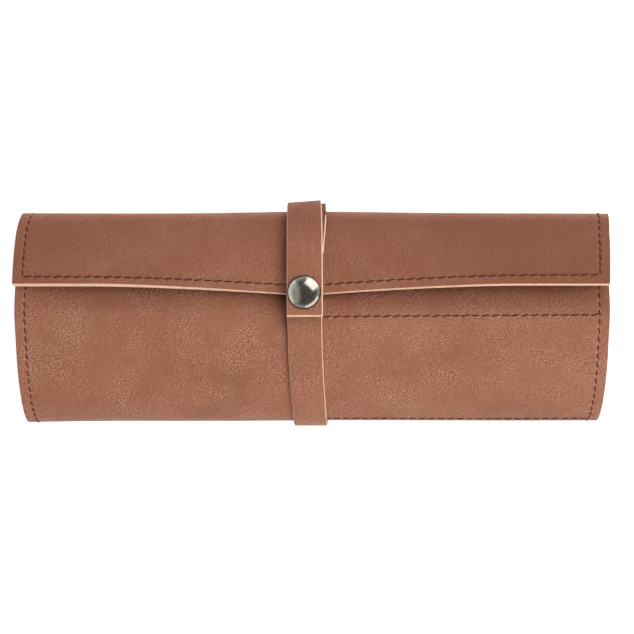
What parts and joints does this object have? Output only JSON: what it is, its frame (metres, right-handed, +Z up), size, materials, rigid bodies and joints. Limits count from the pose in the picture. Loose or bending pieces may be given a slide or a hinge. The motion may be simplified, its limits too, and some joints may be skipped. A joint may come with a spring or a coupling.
{
  "type": "watch strap roll",
  "caption": "Soft brown leather roll case for watch straps, closed by an overlapping flap and a narrow strap with a domed metal snap.",
  "frame": {"origin": "middle of the roll's footprint, on the table that the strap's back rests on", "axes": "+X along the roll, +Y from the bottom fold to the top bend, +Z up through the snap"},
  "size_m": [0.25, 0.0978, 0.0482],
  "materials": {
    "cover_leather": "fine pebbled grain, satin",
    "strap_leather": "fine grain, satin, pale cut edges",
    "suede_lining": "short suede nap, matt",
    "thread": "twisted thread, matt",
    "snap_metal": "polished dark nickel"
  },
  "bodies": {
    "roll": {"cover_body": "cover_leather", "lining_body": "suede_lining", "seam_body_left": "thread", "seam_body_right": "thread", "strap_band": "strap_leather", "strap_backing_band": "strap_leather", "slot_panel": "suede_lining", "slot_seam_1": "thread", "slot_seam_2": "thread", "slot_seam_3": "thread", "slot_seam_4": "thread", "slot_seam_5": "thread", "slot_seam_6": "thread", "slot_seam_7": "thread"},
    "flap": {"cover_flap": "cover_leather", "lining_flap": "suede_lining", "seam_flap_left": "thread", "seam_flap_right": "thread", "seam_flap_edge": "thread"},
    "front": {"cover_front": "cover_leather", "lining_front": "suede_lining", "seam_front_left": "thread", "seam_front_right": "thread", "tool_pocket": "suede_lining", "seam_pocket_mouth": "thread", "seam_pocket_foot": "thread"},
    "strap_tail_body": {"strap_tail": "strap_leather", "snap_post": "snap_metal", "snap_stud": "snap_metal"},
    "strap_end_body": {"strap_end": "strap_leather", "strap_backing_end": "strap_leather", "snap_cap": "snap_metal", "snap_socket": "snap_metal", "snap_spring": "snap_metal"}
  },
  "joints": [
    {"name": "front_open", "type": "hinge", "parent": "roll", "child": "front", "pos_m": [0, -0.0448, 0.0128], "axis": [1, 0, 0], "range_deg": [0, 55]},
    {"name": "flap_open", "type": "hinge", "parent": "roll", "child": "flap", "pos_m": [0, 0.0362, 0.03489], "axis": [-1, 0, 0], "range_deg": [0, 135]},
    {"name": "strap_end_open", "type": "hinge", "parent": "roll", "child": "strap_end_body", "pos_m": [0, 0.04283, 0.03653], "axis": [-1, 0, 0], "range_deg": [0, 171]},
    {"name": "strap_tail_open", "type": "hinge", "parent": "roll", "child": "strap_tail_body", "pos_m": [0, -0.04834, 0.01362], "axis": [1, 0, 0], "range_deg": [0, 72]}
  ],
  "couplings": [
    {"joint": "flap_open", "follows": "front_open", "ratio": 2.45},
    {"joint": "strap_end_open", "follows": "front_open", "ratio": 3.1},
    {"joint": "strap_tail_open", "follows": "front_open", "ratio": 1.3}
  ]
}
